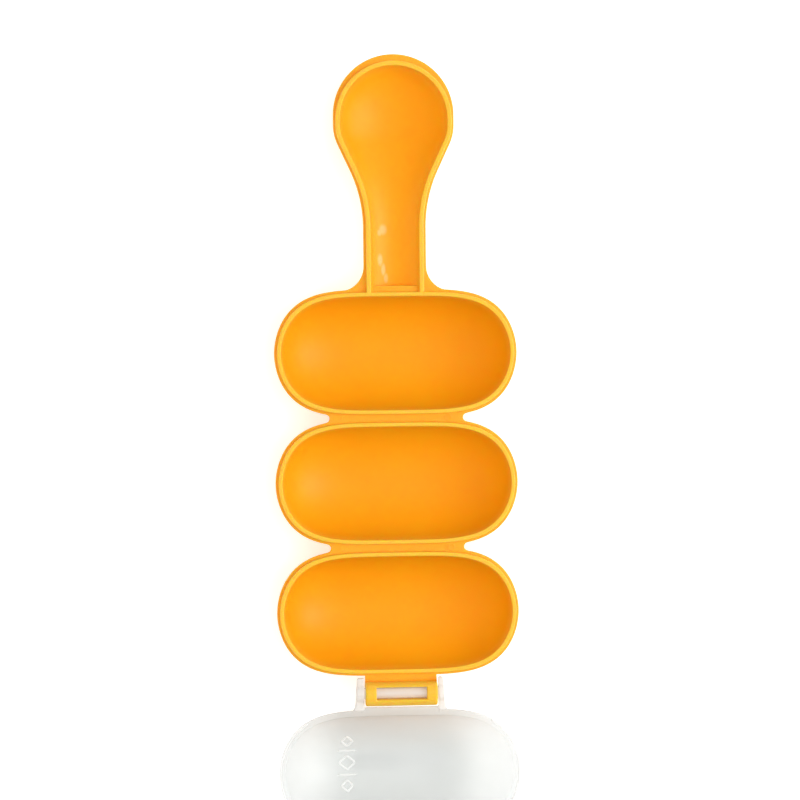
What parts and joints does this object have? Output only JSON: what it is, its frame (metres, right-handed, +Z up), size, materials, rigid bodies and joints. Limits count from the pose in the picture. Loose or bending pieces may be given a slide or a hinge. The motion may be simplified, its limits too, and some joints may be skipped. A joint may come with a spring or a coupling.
{
  "type": "rice ball shaker mould",
  "caption": "Shaker mould for small rice balls: a base of long hollows side by side with a spoon-shaped handle, closed by a hinged translucent lid of matching domes.",
  "frame": {"origin": "middle of the open part's box, on the surface it lies on", "axes": "+Y from the lid's far end to the spoon's tip, +X along the hollows, +Z up, with the lid laid open"},
  "size_m": [0.066, 0.2854, 0.0193],
  "materials": {
    "orange_pp": "opaque orange-yellow polypropylene, soft satin gloss outside and finely matt inside the hollows",
    "frosted_pp": "uncoloured translucent polypropylene, milky with a soft gloss"
  },
  "bodies": {
    "base": {"base": "orange_pp"},
    "lid": {"lid": "frosted_pp"}
  },
  "joints": [
    {"name": "lid_hinge", "type": "hinge", "parent": "base", "child": "lid", "pos_m": [0, -0.03047, 0.0163], "axis": [-1, 0, 0], "range_deg": [0, 180]}
  ]
}
